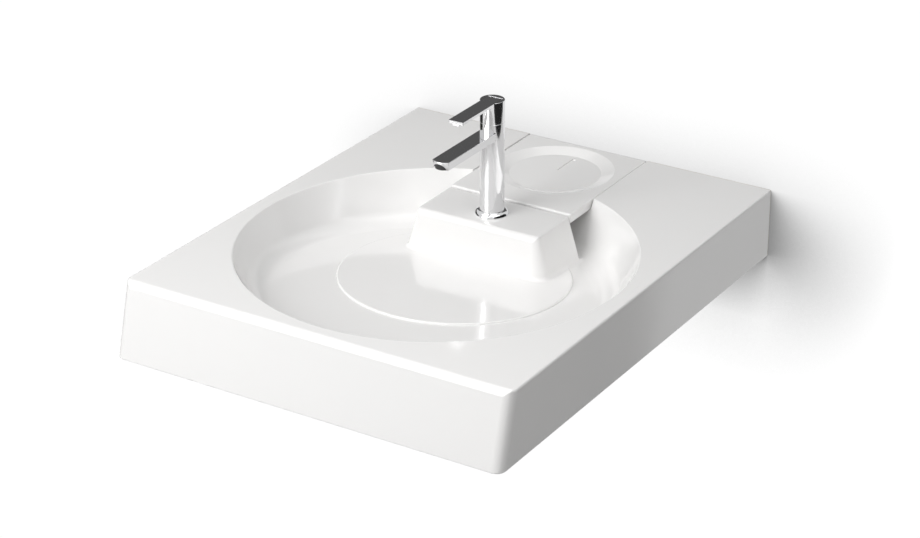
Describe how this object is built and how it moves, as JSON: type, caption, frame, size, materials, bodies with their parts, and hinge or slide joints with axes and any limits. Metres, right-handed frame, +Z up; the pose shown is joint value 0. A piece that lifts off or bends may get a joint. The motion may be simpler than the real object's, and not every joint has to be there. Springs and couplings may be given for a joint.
{
  "type": "wall-hung basin",
  "caption": "White wall-hung basin with a round bowl, a tap island, a lift-off cover over the rear drain and a single-lever mixer tap.",
  "frame": {"origin": "on the rear face, midway between the two wall fixing holes", "axes": "+X to the right seen from the front, +Y towards the wall, +Z up"},
  "size_m": [0.6, 0.7462, 0.3455],
  "materials": {
    "basin_glaze": "smooth white glaze",
    "cover_glaze": "smooth white glaze",
    "chrome": "polished",
    "steel": "zinc plated",
    "raw_brass": "machined",
    "black_rubber": "matt",
    "soft_rubber": "soft translucent",
    "black_plastic": "moulded",
    "outlet_plastic": "moulded"
  },
  "bodies": {
    "basin": {"basin_bowl": "basin_glaze", "basin_front": "basin_glaze", "basin_left": "basin_glaze", "basin_right": "basin_glaze", "basin_island": "basin_glaze", "basin_sump": "basin_glaze", "basin_tray": "basin_glaze", "cover_bumpers": "soft_rubber", "waste_body": "chrome", "waste_top_seal": "black_rubber", "waste_under_seal": "black_rubber", "waste_nut": "black_plastic", "waste_tail": "chrome", "tap_base_ring": "chrome", "tap_base_seal": "black_rubber", "tap_body": "chrome", "spout": "chrome", "aerator_housing": "black_plastic", "aerator_insert": "outlet_plastic", "aerator_seal": "black_rubber", "cartridge": "outlet_plastic", "cartridge_clamp_nut": "raw_brass", "fixing_stud": "steel", "rubber_horseshoe_washer": "black_rubber", "metal_horseshoe_washer": "steel", "stud_nut": "raw_brass"},
    "cover": {"drain_cover": "cover_glaze"},
    "strainer": {"strainer": "chrome"},
    "head": {"temperature_head": "chrome", "cartridge_stem": "raw_brass", "lever_pin": "steel"},
    "lever": {"lever": "chrome"}
  },
  "joints": [
    {"name": "cover_lift", "type": "slide", "parent": "basin", "child": "cover", "axis": [0, 0, 1], "range_m": [0, 0.08]},
    {"name": "strainer_lift", "type": "slide", "parent": "basin", "child": "strainer", "axis": [0, 0, 1], "range_m": [0, 0.045]},
    {"name": "head_swivel", "type": "hinge", "parent": "basin", "child": "head", "pos_m": [0, -0.2732, 0.2], "axis": [0, 0, 1], "range_deg": [-45, 45]},
    {"name": "lever_tilt", "type": "hinge", "parent": "head", "child": "lever", "pos_m": [0, -0.2672, 0.219], "axis": [-1, 0, 0], "range_deg": [0, 22]}
  ]
}
